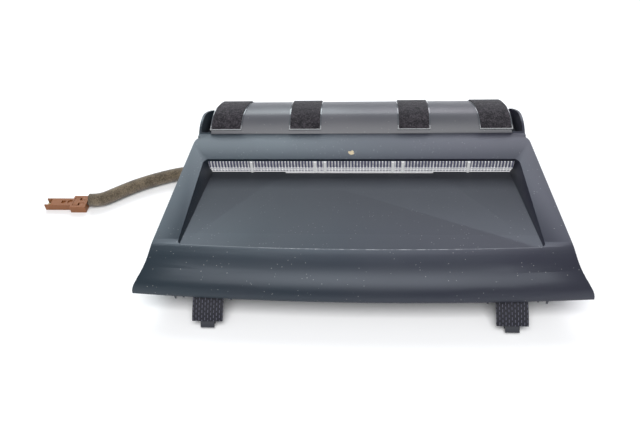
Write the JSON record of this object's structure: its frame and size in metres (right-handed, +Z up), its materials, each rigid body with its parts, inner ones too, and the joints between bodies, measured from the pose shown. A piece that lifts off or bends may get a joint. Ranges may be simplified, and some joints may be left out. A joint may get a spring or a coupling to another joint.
{
  "type": "third brake light",
  "caption": "Shelf-mounted third brake light: trim cover with a sunken light channel, fluted lens and lamp, padded hood, sprung taped clips and a sleeved cable with connector.",
  "frame": {"origin": "middle of the footprint, on the surface that the lamp housing and the two clip tongues rest on; the free cable and its connector are not counted", "axes": "+X across the car, to the right as seen from the lip; +Y from the lip towards the hood; +Z up"},
  "size_m": [0.4468, 0.2472, 0.0532],
  "materials": {
    "cover_plastic": "satin, fine grain",
    "hood_plastic": "satin, smooth",
    "clear_lens": "clear, fluted",
    "foam_seal": "closed-cell foam",
    "housing_plastic": "moulded black",
    "silvered_tray": "vacuum-coated plastic",
    "circuit_board": "solder mask",
    "red_emitter": "clear-topped",
    "black_component": "moulded",
    "header_plastic": "moulded natural",
    "grommet_rubber": "soft moulded",
    "sleeve_felt": "felt tube",
    "wire_jacket": "soft insulation",
    "connector_plastic": "moulded, satin",
    "terminal_metal": "tinned",
    "screw_steel": "zinc plated",
    "pad_felt": "needle felt",
    "clip_plastic": "moulded, smooth",
    "woven_tape": "woven, ribbed"
  },
  "bodies": {
    "unit": {"trim_cover": "cover_plastic", "rear_hood": "hood_plastic", "lens": "clear_lens", "lens_gasket": "foam_seal", "lamp_housing": "housing_plastic", "lamp_back_cover": "housing_plastic", "reflector": "silvered_tray", "led_board": "circuit_board", "leds": "red_emitter", "resistors": "black_component", "protection_diode": "black_component", "board_header": "header_plastic", "board_screws": "screw_steel", "housing_screws": "screw_steel", "hood_screws": "screw_steel", "back_cover_screws": "screw_steel", "inner_leads": "wire_jacket", "felt_pad_left": "pad_felt", "felt_pad_mid_left": "pad_felt", "felt_pad_mid_right": "pad_felt", "felt_pad_right": "pad_felt", "left_clip_bracket": "clip_plastic", "right_clip_bracket": "clip_plastic", "clip_screws": "screw_steel", "cable_grommet": "grommet_rubber", "cable_sleeve": "sleeve_felt", "connector_wires": "wire_jacket", "connector_body": "connector_plastic", "connector_terminals": "terminal_metal"},
    "left_clip": {"left_spring_leg": "clip_plastic", "left_clip_tape": "woven_tape"},
    "right_clip": {"right_spring_leg": "clip_plastic", "right_clip_tape": "woven_tape"},
    "latch": {"connector_latch": "connector_plastic"}
  },
  "joints": [
    {"name": "left_clip_flex", "type": "hinge", "parent": "unit", "child": "left_clip", "pos_m": [-0.109, -0.10105, 0.0275], "axis": [1, 0, 0], "range_deg": [0, 3.5], "stiffness_Nm_per_rad": 4},
    {"name": "right_clip_flex", "type": "hinge", "parent": "unit", "child": "right_clip", "pos_m": [0.109, -0.10105, 0.0275], "axis": [1, 0, 0], "range_deg": [0, 3.5], "stiffness_Nm_per_rad": 4},
    {"name": "connector_latch_press", "type": "hinge", "parent": "unit", "child": "latch", "pos_m": [-0.2455, 0.0106, 0.00585], "axis": [0, -1, 0], "range_deg": [0, 6], "stiffness_Nm_per_rad": 0.3}
  ]
}
